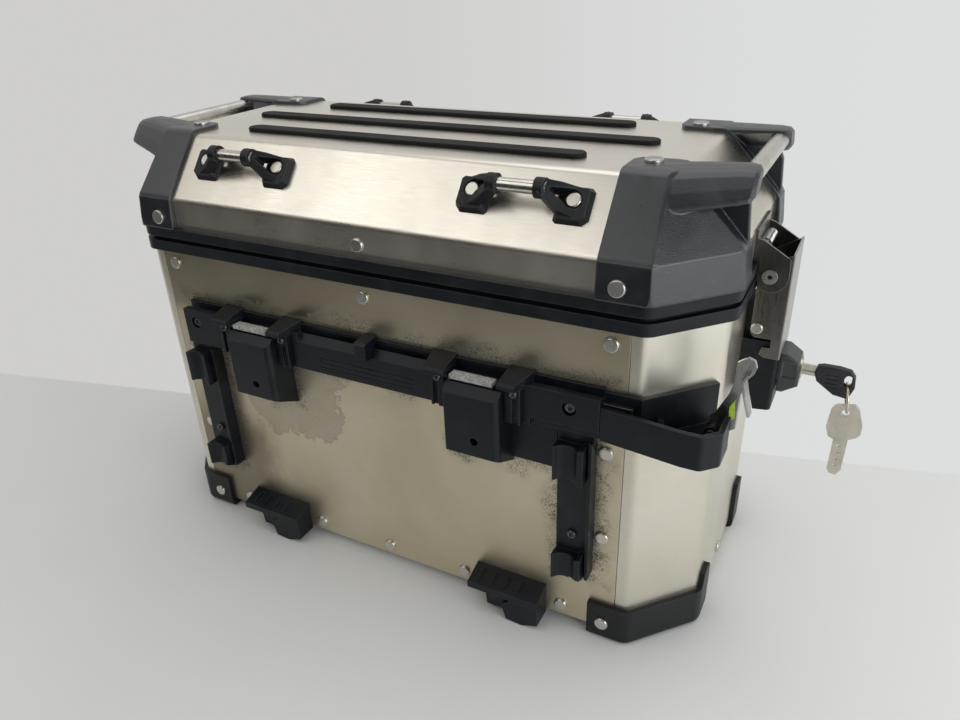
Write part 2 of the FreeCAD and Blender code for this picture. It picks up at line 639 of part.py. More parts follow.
def guard_skin(form):
    """The guards' outer form over one corner, flared below the skirt's bend, less the lid itself."""
    flare = plan_prism(GUARD_FLARE + 0.5, LID_BAND_Z1, SKIRT_TOP + 0.5)
    lean = math.sin(FLARE_ANGLE)
    corner_out = V(CHAMFER_Y, -CHAMFER_X, 0).normalize()
    corner_on = V(HALF_X - CHAMFER_X, -HALF_Y, SKIRT_TOP)
    for out, on in ((V(0, -1, 0), V(0, -HALF_Y, SKIRT_TOP)), (V(1, 0, 0), V(HALF_X, 0, SKIRT_TOP)),
                    (corner_out, corner_on)):
        flare = slice_off(flare, on + out * GUARD, V(out.x, out.y, lean))
    return lid_body(GUARD, LID_BAND_Z1).fuse(flare).cut(form)


def arm_section(x, y, z, half_y, half_z):
    """Rounded outline of the guard's arm at one x, leaning like the slope that it carries on."""
    lean = (HALF_Y - ROOF_HALF_Y) / (ROOF - SKIRT_TOP)
    points = []
    for index in range(16):
        angle = math.radians(22.5 * index)
        wide = math.copysign(abs(math.cos(angle)) ** 0.5, math.cos(angle))
        tall = math.copysign(abs(math.sin(angle)) ** 0.5, math.sin(angle))
        points.append((y + half_y * wide + lean * half_z * tall, z + half_z * tall))
    return section(x, points)


def lid_corner(form, skin):
    """Moulded corner of the lid, front +X one: a skin over skirt, slopes and roof edge, an arm
    that holds the end tube, and a web under the arm."""
    reach = LENGTH
    cover = [(176.5, -reach), (176.5, -58.0), (180.0, -52.0), (202.0, -50.0), (214.0, -52.0),
             (reach, -52.0), (reach, -reach)]
    shell = skin.common(prism_xy(cover, LID_BAND_Z1, ROOF + GUARD + 1))
    arm = Part.makeLoft([arm_section(198.0, -77.0, 327.6, 16.5, 12.6),
                         arm_section(222.0, -71.0, 330.3, 14.5, 11.0),
                         arm_section(246.0, -66.0, 332.6, 12.0, 9.6),
                         arm_section(252.0, -65.5, 332.9, 10.5, 8.6),
                         arm_section(254.2, -65.5, 333.2, 7.5, 6.0)], True, True)
    web = prism_xz([(206.0, 337.0), (246.0, 330.0), (250.5, 320.0), (252.5, 294.0), (244.0, 296.0)],
                   -63.0, -59.0)
    piece = fuse([shell, arm, web]).cut(form)
    return piece.cut(end_tube())


def top_strip(y, half):
    """Flat rubber strip with round ends and a small bevel along its top edge."""
    width, height, bevel = 15.0, 3.0, 0.8
    straight = half - width / 2
    plan = box((-straight, straight), (y - width / 2, y + width / 2), (ROOF, ROOF + height))
    ends = [Part.makeCylinder(width / 2, height, V(side * straight, y, ROOF)) for side in (1, -1)]
    solid = fuse([plan] + ends)
    rim = [e for e in solid.Edges if e.BoundBox.ZMin > ROOF + height - 0.01]
    return solid.makeChamfer(bevel, rim)


TIE_X = (-113.9, 118.7)      # centres of the tie loops
TIE_Y = -96.4                # where their rivets stand on the slope
TIE_RIVET = 34.7             # from the loop's centre to each rivet
TIE_SEAT = 4.2               # the rivets' heads stand this high above the slope
BAR_RISE = 14.5              # height of the bar's axis above the slope
BAR_R = 4.4
BAR_SHIFT = 1.5              # the bar lies a little up-slope of the rivets


def tie_foot():
    """One foot of a tie loop on the XY plane: a thick pad at +X, a neck of two walls with a hollow
    between them, and the collar that holds the bar."""
    def flat(z, points):
        return Part.makePolygon([V(x, y, z) for x, y in points + [points[0]]])

    pad = Part.makeLoft([
        flat(0.0, [(22.5, 10.5), (43.5, 10.5), (46.0, 8.0), (46.0, -10.5), (42.0, -14.5), (24.5, -14.5),
                   (22.5, -12.5)]),
        flat(5.2, [(25.5, 8.5), (42.3, 8.5), (44.0, 6.8), (44.0, -9.6), (40.8, -12.6), (27.0, -12.6),
                   (25.5, -11.0)]),
    ], True, True)
    low, high = BAR_RISE - 5.8, BAR_RISE + 5.8
    neck = Part.makeLoft([
        section(38.0, [(-12.6, 0.0), (9.6, 0.0), (8.4, 5.0), (-11.2, 5.0)]),
        section(28.0, [(-12.2, 0.0), (9.2, 0.0), (7.8, 12.5), (-9.4, 11.0)]),
        section(16.0, [(-4.0, low), (7.0, low), (6.2, high - 0.4), (-3.2, high - 0.4)]),
    ], True, True)
    collar = rod(V(13.0, BAR_SHIFT, BAR_RISE), V(19.5, BAR_SHIFT, BAR_RISE), 6.6)
    hollow = prism_xy([(22.0, 2.6), (32.5, 5.6), (30.0, -3.6), (22.0, 0.2)], 3.2, 40.0)
    seat = rod(V(TIE_RIVET, 0, TIE_SEAT), V(TIE_RIVET, 0, 40.0), 6.2)
    return fuse([pad, neck, collar]).cut(seat).cut(hollow)


def tie_bar():
    """Bar of one tie loop, before it is placed on the slope."""
    return rod(V(-20.0, BAR_SHIFT, BAR_RISE), V(20.0, BAR_SHIFT, BAR_RISE), BAR_R)


def tie_pair(x):
    """Both feet of one loop, cut for the bar and the rivets."""
    foot = tie_foot().cut(tie_bar())
    return [on_slope(foot, x, TIE_Y), on_slope(mirror_x(foot), x, TIE_Y)]


def tie_rivets(x):
    """The two rivets of one loop."""
    head = rivet(V(0, 0, TIE_SEAT), UP, TIE_SEAT + SHEET, 5.0)
    made = []
    for dx in (-TIE_RIVET, TIE_RIVET):
        seated = head.copy()
        seated.translate(V(dx, 0, 0))
        made.append(on_slope(Part.makeCompound([seated]), x, TIE_Y))
    return made


# ---- latch at the +X end --------------------------------------------------------------------
PIVOT = V(262.5, 0, 261.5)   # the hasp's axis
CHEEK_IN = 19.0              # inner face of the hasp's cheeks
CHEEK_OUT = 20.5
BRACKET_IN = 21.0            # inner face of the lid bracket's cheeks
BRACKET_OUT = 22.5
PIVOT_R = 2.6
WEB_X = (275.0, 276.5)       # the hasp's outer web
TONGUE_HALF = 10.0           # half width of the web's tongue behind the lock housing
CORE_Z = 188.0               # height of the key's axis
CORE_R = 7.0
BOLT_HALF = 5.0              # half width of the lock's bolt
BOLT_Z = (CORE_Z - 13.0, CORE_Z - 8.0)
KEY_HOLE = ((321.8, 187.6), (321.4, 182.8))   # the two ends of the slot in the key's bow, X and Z
KEY_HOLE_R = 2.4
RING_R = 10.5
RING_WIRE = 0.9
RING_TOP = V(KEY_HOLE[1][0], 0, KEY_HOLE[1][1] - KEY_HOLE_R + RING_WIRE + 0.7)
RING_LEAN = 8.0              # the ring hangs a little outwards, in degrees
RING_TURN = 8.0              # and is turned a little about the vertical
RING_DOWN = V(math.sin(math.radians(RING_LEAN)), 0, -math.cos(math.radians(RING_LEAN)))
RING_BOTTOM = RING_TOP + RING_DOWN * (2 * RING_R)


def hasp_bracket():
    """Bent steel bracket riveted to the lid: a back plate and two cheeks that carry the pivot."""
    back = box((HALF_X, HALF_X + 2), (-BRACKET_OUT, BRACKET_OUT), (LID_BAND_Z1 + 0.5, 292.5))
    outline = [(HALF_X, 287.0), (HALF_X, 270.5), (254.5, 270.5), (254.5, 257.0), (258.0, 252.0),
               (263.0, 250.0), (269.0, 251.5), (273.5, 256.5), (274.5, 262.0), (274.0, 274.5),
               (256.0, 285.5)]
    cheeks = [prism_xz(outline, side * BRACKET_IN, side * BRACKET_OUT) for side in (-1, 1)]
    bracket = fuse([back] + cheeks)
    return bracket.cut(rod(V(PIVOT.x, -30, PIVOT.z), V(PIVOT.x, 30, PIVOT.z), PIVOT_R))


def hasp_pin():
    """Tubular pivot pin with a rolled head at each side."""
    pin = rod(V(PIVOT.x, -BRACKET_OUT, PIVOT.z), V(PIVOT.x, BRACKET_OUT, PIVOT.z), PIVOT_R)
    heads = []
    for side in (-1, 1):
        face = side * BRACKET_OUT
        heads.append(rod(V(PIVOT.x, face, PIVOT.z), V(PIVOT.x, face + side * 1.4, PIVOT.z), 5.0))
    solid = fuse([pin] + heads)
    return solid.cut(rod(V(PIVOT.x, -30, PIVOT.z), V(PIVOT.x, 30, PIVOT.z), 1.6))


def hasp_spring():
    """Coil spring lying between the bracket's cheeks, against the back plate."""
    coil_r, wire_r, pitch, length = 3.2, 0.55, 2.4, 24.0
    helix = Part.makeHelix(pitch, length, coil_r)
    circle = Part.Wire(Part.makeCircle(wire_r, V(coil_r, 0, 0), V(0, 1, 0)))
    spring = Part.Wire(helix.Edges).makePipeShell([circle], True, True)
    spring.Placement = FreeCAD.Placement(V(255.8, length / 2, 280.0), FreeCAD.Rotation(V(1, 0, 0), 90))
    return spring


def hasp():
    """Stainless channel that swings on the bracket and hooks over the lock base."""
    outline = [(255.0, 264.5), (255.0, 219.0), (257.5, 215.5), (269.5, 215.5), (269.5, 209.0),
               (264.0, 208.5), (262.5, 203.0), (266.0, 201.0), (WEB_X[1], 201.0), (WEB_X[1], 277.5),
               (272.0, 275.0)]
    cheeks = [prism_xz(outline, side * CHEEK_IN, side * CHEEK_OUT) for side in (-1, 1)]
    web = box(WEB_X, (-CHEEK_OUT, CHEEK_OUT), (201.0, 277.5))
    whole = soften(fuse(cheeks + [web]), 1.4, lambda d, m: abs(d.z) > 0.99 and m.x > WEB_X[1] - 0.01)
    tongue = box(WEB_X, (-TONGUE_HALF, TONGUE_HALF), (BOLT_Z[1] + 1.0, 202.0))
    bore = rod(V(PIVOT.x, -30, PIVOT.z), V(PIVOT.x, 30, PIVOT.z), PIVOT_R + RUNNING)
    return fuse([whole, tongue]).cut(bore).cut(hasp_rivets())


def hasp_rivets():
    """Small rivets through the hasp's cheeks."""
    made = []
    for side in (-1, 1):
        face = V(259.0, side * CHEEK_OUT, 222.5)
        made.append(rivet(face, V(0, side, 0), CHEEK_OUT - CHEEK_IN, 4.2))
    return group(made)


def lock_housing():
    """Moulded housing of the lock on the hasp's web, hanging in front of the lock base."""
    half = 12.0
    outline = [(WEB_X[1], 202.5), (280.2, 202.3), (289.0, 196.2), (290.4, 190.0), (290.4, 178.4),
               (280.4, 171.8), (WEB_X[1], 172.0)]
    shell = prism_xz(outline, -half, half)
    shell = soften(shell, 1.8, lambda d, m: abs(d.y) < 0.01 and abs(m.y) > half - 0.1
                   and m.x > WEB_X[1] + 0.5)
    panel = box((278.8, 287.6), (half - 0.6, half + 1), (184.5, 196.0))
    bore = rod(V(270, 0, CORE_Z), V(300, 0, CORE_Z), CORE_R + RUNNING)
    return shell.cut(bore).cut(bolt_way(270.0, 286.0)).cut(group([panel, mirror_y(panel)]))


def bolt_way(x0, x1):
    """Free way of the bolt between two x."""
    reach = BOLT_HALF + PLAY
    return box((x0, x1), (-reach, reach), (BOLT_Z[0] - PLAY, BOLT_Z[1] + PLAY))


def lock_core():
    """Cylinder core with the keyway, turning in the housing."""
    core = rod(V(277.5, 0, CORE_Z), V(291.0, 0, CORE_Z), CORE_R)
    return core.cut(box((279.0, 292.0), (-1.2, 1.2), (CORE_Z - 4.2, CORE_Z + 4.2)))


def key_blade():
    """The key's blade between lock and bow, with a groove along its side."""
    blade = box((279.5, 303.0), (-1.1, 1.1), (CORE_Z - 3.9, CORE_Z + 3.9))
    groove = box((279.0, 299.0), (-1.2, -0.5), (CORE_Z - 1.0, CORE_Z + 0.6))
    return blade.cut(groove)


def key_head():
    """Moulded bow of the key that is in the lock, with a slot for the ring and a ribbed grip."""
    half = 3.0
    outline = [(299.2, 187.3), (300.6, 192.8), (304.6, 194.0), (315.1, 194.1), (322.6, 192.9),
               (325.8, 188.7), (326.5, 180.6), (323.4, 171.4), (313.4, 172.8), (301.4, 181.2)]
    bow = prism_xz(outline, -half, half)
    bow = soften(bow, 1.2, lambda d, m: abs(d.y) < 0.01)
    (x_top, z_top), (x_low, z_low) = KEY_HOLE
    bow = bow.cut(fuse([rod(V(x_top, -5, z_top), V(x_top, 5, z_top), KEY_HOLE_R),
                        rod(V(x_low, -5, z_low), V(x_low, 5, z_low), KEY_HOLE_R),
                        box((x_low - KEY_HOLE_R, x_low + KEY_HOLE_R), (-5, 5), (z_low, z_top))]))
    for index in range(4):
        z = 178.0 + 3.2 * index
        for face in (-half, half):
            bow = bow.cut(box((306.5, 315.0), (face - 0.5, face + 0.5), (z, z + 1.4)))
    return bow.cut(key_blade())


def key_ring():
    """Wire ring through the slot in the key's bow."""
    across = V(-math.sin(math.radians(RING_TURN)), math.cos(math.radians(RING_TURN)), 0)
    return Part.makeTorus(RING_R, RING_WIRE, RING_TOP + RING_DOWN * RING_R, RING_DOWN.cross(across))


def spare_key():
    """Flat steel key that hangs on the ring."""
    bow = [(316.5, 163.8), (318.5, 165.2), (329.5, 167.4), (332.5, 164.5), (336.7, 151.0),
           (336.5, 144.5), (334.0, 141.0), (329.4, 138.6), (319.4, 136.6), (315.8, 138.5),
           (313.5, 146.0), (314.6, 160.5)]
    blade = [(319.8, 140.0), (329.4, 141.0), (329.0, 112.0), (326.0, 107.0), (321.5, 107.5),
             (319.6, 111.0)]
    key = fuse([prism_xz(bow, -1.1, 1.1), prism_xz(blade, -1.1, 1.1)])
    hole_r = 2.6
    hole_z = RING_BOTTOM.z + RING_WIRE + PLAY - hole_r
    key = key.cut(rod(V(RING_BOTTOM.x, -5, hole_z), V(RING_BOTTOM.x, 5, hole_z), hole_r))
    for index in range(4):
        z = 116.0 + 5.5 * index
        key = key.cut(rod(V(324.5, -1.6, z), V(324.5, -0.6, z), 1.5))
    return key


def lock_bolt():
    """Bolt behind the housing that the key drives into the lock base's pocket."""
    return box((276.0, 285.0), (-BOLT_HALF, BOLT_HALF), BOLT_Z)


def lock_base():
    """Moulded base on the case's end wall that the hasp closes over."""
    half = CHEEK_IN - 0.4
    outline = [(HALF_X, 212.6), (269.6, 212.5), (273.4, 200.6), (276.0, 200.0), (275.4, 159.4),
               (263.5, 158.0), (260.5, 168.9), (HALF_X, 176.0)]
    block = prism_xz(outline, -half, half)
    block = soften(block, 3.0, lambda d, m: abs(d.z) > 0.99 and m.x > 275.0)
    stop = prism_xz([(HALF_X, 212.0), (264.0, 212.0), (262.0, 234.0), (HALF_X, 238.0)], -12.0, 12.0)
    reach = TONGUE_HALF + 0.5
    recess = box((WEB_X[0] - 0.6, 280.0), (-reach, reach), (BOLT_Z[1] + PLAY, 205.0))
    return fuse([block, stop]).cut(recess).cut(bolt_way(269.0, 280.0))


# ---- assembly -------------------------------------------------------------------------------
CORNERS = (("front_right", 1, -1), ("front_left", -1, -1), ("rear_right", 1, 1), ("rear_left", -1, 1))
SIDES = (("left", HOOK_X[0], ARM_X[0], -145.5), ("right", HOOK_X[1], ARM_X[1], 86.0))
STRIPS = (("front", -52.8, 143.0), ("middle", 0.0, 177.0), ("rear", 52.8, 143.0))
TIES = (("front_left", TIE_X[0], False), ("front_right", TIE_X[1], False),
        ("rear_left", TIE_X[0], True), ("rear_right", TIE_X[1], True))


def placed_corner(front_right, sx, sy):
    """Copy of the front +X corner's piece, mirrored to another corner."""
    shape = mirror_x(front_right) if sx < 0 else front_right.copy()
    return mirror_y(shape) if sy > 0 else shape


def build():
    """Every node's name and shape."""
    nodes = {}
    case_fixings = case_rivets()
    base_fixings = base_corner_rivets()
    screws = rail_screws()
    rail = mount_rail()
    fixings = group(case_fixings + base_fixings + screws)

    nodes["back_panel"] = back_panel().cut(fixings)
    nodes["outer_shell"] = outer_shell().cut(fixings)
    nodes["floor_pan"] = floor_pan().cut(fixings)
    nodes["body_rim"] = body_rim()
    nodes["lid_seal"] = lid_seal()
    shoe = base_corner()
    for name, sx, sy in CORNERS:
        nodes["base_corner_" + name] = placed_corner(shoe, sx, sy).cut(fixings)
    nodes["case_rivets"] = group(case_fixings)
    nodes["base_corner_rivets"] = group(base_fixings)
    nodes["rail_screws"] = group(screws)

    nodes["mount_rail"] = rail.cut(fixings)
    nodes["rail_bumper"] = rail_bumper()
    nodes["rail_clip"] = rail_clip(rail)
    for name, centre, arm_x, foot_x in SIDES:
        nodes["hook_block_" + name] = hook_block(centre, rail).cut(fixings)
        nodes["clamp_arm_" + name] = clamp_arm(arm_x).cut(fixings)
        nodes["support_foot_" + name] = support_foot(foot_x)
    nodes["lock_bar"] = lock_bar()
    nodes["hook_plates"] = hook_plates()
    nodes["lever_pin"] = lever_pin()
    nodes["release_lever"] = release_lever()
    nodes["lever_tab"] = lever_tab()

    nodes["hinge_case_leaf"] = hinge_leaf(0)
    nodes["hinge_lid_leaf"] = hinge_leaf(1)
    nodes["hinge_pin"] = hinge_pin()

    form = lid_body(0, LID_SHEET_Z)
    corner_fixings = lid_corner_rivets()
    sheet_fixings = lid_sheet_rivets()
    tie_feet = []
    for x in TIE_X:
        front_feet = tie_pair(x)
        front_rivets = tie_rivets(x)
        tie_feet += front_feet + [mirror_y(foot) for foot in front_feet]
        sheet_fixings += front_rivets + [mirror_y(pin) for pin in front_rivets]
    lid_fixings = group(corner_fixings + sheet_fixings)
    nodes["lid_shell"] = lid_shell(form).cut(lid_fixings)
    nodes["lid_rim"] = lid_rim()
    corner = lid_corner(form, guard_skin(form))
    for name, sx, sy in CORNERS:
        nodes["lid_corner_" + name] = placed_corner(corner, sx, sy).cut(lid_fixings)
    nodes["end_tube_right"] = end_tube()
    nodes["end_tube_left"] = mirror_x(end_tube())
    for name, y, half in STRIPS:
        nodes["top_strip_" + name] = top_strip(y, half)
    nodes["tie_feet"] = group(tie_feet).cut(lid_fixings)
    for name, x, rear in TIES:
        bar = on_slope(tie_bar(), x, TIE_Y)
        nodes["tie_bar_" + name] = mirror_y(bar) if rear else bar
    nodes["lid_corner_rivets"] = group(corner_fixings)
    nodes["lid_rivets"] = group(sheet_fixings)

    nodes["hasp_bracket"] = hasp_bracket()
    nodes["hasp_pin"] = hasp_pin()
    nodes["hasp_spring"] = hasp_spring()
    nodes["hasp"] = hasp()
    nodes["hasp_rivets"] = hasp_rivets()
    nodes["lock_housing"] = lock_housing()
    nodes["lock_core"] = lock_core()
    nodes["key_blade"] = key_blade()
    nodes["key_head"] = key_head()
    nodes["key_ring"] = key_ring()
    nodes["spare_key"] = spare_key()
    nodes["lock_bolt"] = lock_bolt()
    nodes["lock_base"] = lock_base()
    return nodes


def main():
    os.makedirs("parts", exist_ok=True)
    for name, shape in build().items():
        shape.exportStep("parts/" + name + ".step")
        solids = len(shape.Solids)
        volume = sum(solid.Volume for solid in shape.Solids)
        print(f"{name:26s} {solids:3d} solids {volume / 1000:10.2f} cm3 valid={shape.isValid()}")


main()
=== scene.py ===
import json
import math

import bpy
from mathutils import Matrix, Vector


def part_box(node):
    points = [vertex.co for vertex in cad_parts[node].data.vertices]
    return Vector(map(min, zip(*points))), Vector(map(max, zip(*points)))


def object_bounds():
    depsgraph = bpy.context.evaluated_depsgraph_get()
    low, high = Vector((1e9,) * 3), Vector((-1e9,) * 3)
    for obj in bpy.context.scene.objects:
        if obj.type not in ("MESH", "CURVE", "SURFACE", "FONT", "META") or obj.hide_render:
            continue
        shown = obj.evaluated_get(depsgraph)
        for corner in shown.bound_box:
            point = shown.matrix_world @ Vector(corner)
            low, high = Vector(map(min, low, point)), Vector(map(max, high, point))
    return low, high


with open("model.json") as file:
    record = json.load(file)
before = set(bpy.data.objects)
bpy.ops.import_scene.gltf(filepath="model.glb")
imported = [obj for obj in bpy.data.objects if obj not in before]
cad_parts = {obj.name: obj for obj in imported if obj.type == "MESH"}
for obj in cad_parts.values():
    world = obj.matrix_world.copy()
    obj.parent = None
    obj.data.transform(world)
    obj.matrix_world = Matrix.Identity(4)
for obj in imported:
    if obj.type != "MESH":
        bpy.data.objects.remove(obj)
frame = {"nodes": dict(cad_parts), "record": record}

CAD_BOX = [list(corner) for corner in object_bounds()]
NODES = frame["nodes"]
MM = 0.001


# ---- shader helpers -------------------------------------------------------------------------
class Shade:
    """A material under construction, with one short call for each kind of shader node."""

    def __init__(self, name):
        self.material = bpy.data.materials.new(name)
        self.material.use_nodes = True
        self.tree = self.material.node_tree
        self.surface = self.tree.nodes["Principled BSDF"]
        coordinates = self.tree.nodes.new("ShaderNodeTexCoord")
        self.place = coordinates.outputs["Object"]
        self.facing = coordinates.outputs["Normal"]

    def put(self, socket, value):
        if isinstance(value, bpy.types.NodeSocket):
            self.tree.links.new(value, socket)
        else:
            socket.default_value = value

    def add(self, kind, output, inputs, **settings):
        node = self.tree.nodes.new("ShaderNode" + kind)
        for key, value in settings.items():
            setattr(node, key, value)
        for key, value in inputs.items():
            self.put(node.inputs[key], value)
        return node.outputs[output]

    def scaled(self, x, y, z):
        return self.add("Mapping", "Vector", {"Vector": self.place, "Scale": (x, y, z)})

    def noise(self, vector, scale, detail=2.0, roughness=0.5, distortion=0.0):
        return self.add("TexNoise", "Fac", {"Vector": vector, "Scale": scale, "Detail": detail,
                                            "Roughness": roughness, "Distortion": distortion})

    def cells(self, vector, scale, feature="F1", output="Distance"):
        return self.add("TexVoronoi", output, {"Vector": vector, "Scale": scale}, feature=feature)

    def math(self, operation, a, b=0.0, clamp=False):
        return self.add("Math", 0, {0: a, 1: b}, operation=operation, use_clamp=clamp)

    def span(self, value, low, high, to_low=0.0, to_high=1.0):
        """Rescale a value from one range to another, smoothly and clamped."""
        return self.add("MapRange", 0, {"Value": value, "From Min": low, "From Max": high,
                                        "To Min": to_low, "To Max": to_high},
                        interpolation_type="SMOOTHSTEP")

    def mix(self, factor, a, b, blend="MIX"):
        return self.add("Mix", 2, {0: factor, 6: a, 7: b}, data_type="RGBA", blend_type=blend)

    def axis(self, vector, name):
        return self.add("SeparateXYZ", name, {"Vector": vector})

    def bump(self, height, distance, strength=1.0, normal=None):
        inputs = {"Height": height, "Distance": distance, "Strength": strength}
        if normal is not None:
            inputs["Normal"] = normal
        return self.add("Bump", "Normal", inputs)

    def rounded(self, radius):
        """Surface normal with the edges rounded over, and a mask that is 1 on those edges."""
        soft = self.add("Bevel", "Normal", {"Radius": radius}, samples=6)
        hard = self.add("NewGeometry", "Normal", {})
        alike = self.add("VectorMath", "Value", {0: soft, 1: hard}, operation="DOT_PRODUCT")
        return soft, self.span(alike, 0.995, 0.90)

    def finish(self, **sockets):
        for key, value in sockets.items():
            self.put(self.surface.inputs[key.replace("_", " ")], value)
        return self.material


def grey(value, warmth=0.0):
    return (value * (1 + warmth), value, value * (1 - 2 * warmth), 1.0)


# ---- materials ------------------------------------------------------------------------------
DRY_DIRT = (0.27, 0.25, 0.205, 1)
OILY_DIRT = (0.030, 0.031, 0.028, 1)
# darker, browner tone laid on parts of the front panel
DARKER_TONE = (0.24, 0.21, 0.155, 1)
RUBBED_EDGE = (0.060, 0.066, 0.070, 1)            # nylon that has worn lighter along an edge


def brushing(shade):
    """Fine streaks along a sheet's horizontal direction, whichever way the sheet faces."""
    facing_x = shade.math("ABSOLUTE", shade.axis(shade.facing, "X"))
    facing_y = shade.math("ABSOLUTE", shade.axis(shade.facing, "Y"))
    towards_end = shade.math("GREATER_THAN", facing_x, facing_y)
    along_x = shade.noise(shade.scaled(0.05, 1, 1), 1500.0, 3.0, 0.6)
    along_y = shade.noise(shade.scaled(1, 0.05, 1), 1500.0, 3.0, 0.6)
    return shade.add("Mix", 0, {0: towards_end, 2: along_x, 3: along_y}, data_type="FLOAT")


def darker_areas(shade):
    """Where the front panel is coloured darker and browner: its upper left and a spot by the left clamp
    arm.
    """
    x, z = shade.axis(shade.place, "X"), shade.axis(shade.place, "Z")
    clouds = shade.noise(shade.place, 14.0, 4.0, 0.6, 0.3)
    wobble = shade.math("MULTIPLY", shade.math("SUBTRACT", clouds, 0.5), 0.10)
    x = shade.math("ADD", x, wobble)
    z = shade.math("ADD", z, shade.math("MULTIPLY", wobble, 0.6))
    upper = shade.math("MULTIPLY", shade.span(z, 0.188, 0.206), shade.span(x, 0.04, -0.17, 0.22, 0.66))
    lower = shade.math("MULTIPLY", shade.span(z, 0.135, 0.07), shade.span(x, -0.080, -0.130, 0.0, 0.85))
    return shade.math("MAXIMUM", upper, lower)


def aluminium(name, tint=(0.80, 0.765, 0.665), dull=(0.70, 0.655, 0.545), grime=None, rough=0.30):
    """Brushed warm-toned sheet; grime(shade) gives a mask, a colour and a roughness to lay over it."""
    shade = Shade(name)
    streaks = brushing(shade)
    clouds = shade.noise(shade.place, 9.0, 4.0, 0.55, 0.4)
    wiped = shade.noise(shade.scaled(1, 1, 0.35), 22.0, 3.0, 0.6)
    fine = shade.noise(shade.place, 900.0, 2.0, 0.6)
    soft, edge = shade.rounded(0.0006)
    colour = shade.mix(shade.span(clouds, 0.35, 0.7), (*tint, 1), (*dull, 1))
    colour = shade.mix(shade.span(streaks, 0.25, 0.8, 0.0, 0.14), colour, grey(0.42, 0.05))
    colour = shade.mix(shade.math("MULTIPLY", edge, 0.5), colour, grey(0.85, 0.02))
    roughness = shade.math("ADD", shade.span(streaks, 0.2, 0.8, rough, rough + 0.08),
                           shade.span(wiped, 0.3, 0.75, 0.0, 0.07))
    metallic = 1.0
    if grime:
        # darker, browner tone on the front panel's upper left and by the left clamp arm
        colour = shade.mix(darker_areas(shade), colour, DARKER_TONE)
        mask, dirt_colour, dirt_rough = grime(shade)
        colour = shade.mix(mask, colour, dirt_colour)
        roughness = shade.add("Mix", 0, {0: mask, 2: roughness, 3: dirt_rough}, data_type="FLOAT")
        metallic = shade.span(mask, 0.0, 1.0, 1.0, 0.35)
    bumps = shade.bump(streaks, 0.00003, 0.6, soft)
    bumps = shade.bump(fine, 0.00002, 0.5, bumps)
    return shade.finish(Base_Color=colour, Metallic=metallic, Roughness=roughness, Normal=bumps)


def near_area(shade, x0, x1, z0, z1):
    """Distance in metres outside a rectangle on the front panel, as seen straight on."""
    x = shade.math("ABSOLUTE", shade.math("SUBTRACT", shade.axis(shade.place, "X"), (x0 + x1) / 2))
    z = shade.math("ABSOLUTE", shade.math("SUBTRACT", shade.axis(shade.place, "Z"), (z0 + z1) / 2))
    dx = shade.math("SUBTRACT", x, (x1 - x0) / 2)
    dz = shade.math("SUBTRACT", z, (z1 - z0) / 2)
    return shade.math("MAXIMUM", dx, dz)


def hardware_areas():
    """Rectangles of the front panel that the rail's hardware covers: x0, x1, z0, z1."""
    rail_low, rail_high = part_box("mount_rail")
    bumper_low, bumper_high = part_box("rail_bumper")
    areas = [(rail_low.x, rail_high.x, bumper_low.z, rail_high.z)]
    for side in ("left", "right"):
        low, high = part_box("hook_block_" + side)
        areas.append((low.x + 18 * MM, high.x - 18 * MM, low.z, high.z))
        low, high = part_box("clamp_arm_" + side)
        areas.append((low.x, high.x, low.z, high.z))
    arm_low, arm_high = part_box("clamp_arm_right")
    areas.append((arm_low.x - 40 * MM, arm_low.x, rail_low.z, rail_high.z))
    return areas


def panel_grime(shade):
    """Old road grime: fine dark specks close round the hardware and a dull patch with a tide line
    below the left hook block."""
    wobble = shade.noise(shade.place, 34.0, 5.0, 0.62)
    drift = shade.math("MULTIPLY", shade.math("SUBTRACT", wobble, 0.5), 0.05)
    near = None
    for area in hardware_areas():
        distance = near_area(shade, *area)
        near = distance if near is None else shade.math("MINIMUM", near, distance)
    edge = shade.math("ADD", near, drift)
    stain = shade.span(edge, 0.016, 0.0)
    speckle = shade.span(shade.noise(shade.place, 620.0, 4.0, 0.75), 0.46, 0.60)
    blotch = shade.span(shade.noise(shade.place, 75.0, 3.0, 0.6), 0.38, 0.62)
    cover = shade.math("ADD", shade.math("MULTIPLY", speckle, 0.62), shade.math("MULTIPLY", blotch, 0.34))
    stain = shade.math("MULTIPLY", stain, cover, clamp=True)
    low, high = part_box("hook_block_left")
    below = near_area(shade, low.x + 10 * MM, high.x + 12 * MM, low.z - 20 * MM, high.z)
    outline = shade.math("ADD", below, shade.math("MULTIPLY", drift, 1.5))
    patch = shade.span(outline, 0.0118, 0.0105)
    tide = shade.math("MULTIPLY", patch, shade.span(outline, 0.0065, 0.0112))
    patch = shade.math("MULTIPLY", patch, shade.span(speckle, 0.0, 1.0, 0.30, 0.42))
    patch = shade.math("ADD", patch, shade.math("MULTIPLY", tide, 0.16), clamp=True)
    mask = shade.math("MAXIMUM", stain, patch)
    colour = shade.mix(shade.span(stain, 0.05, 0.5), DRY_DIRT, OILY_DIRT)
    return mask, colour, 0.60


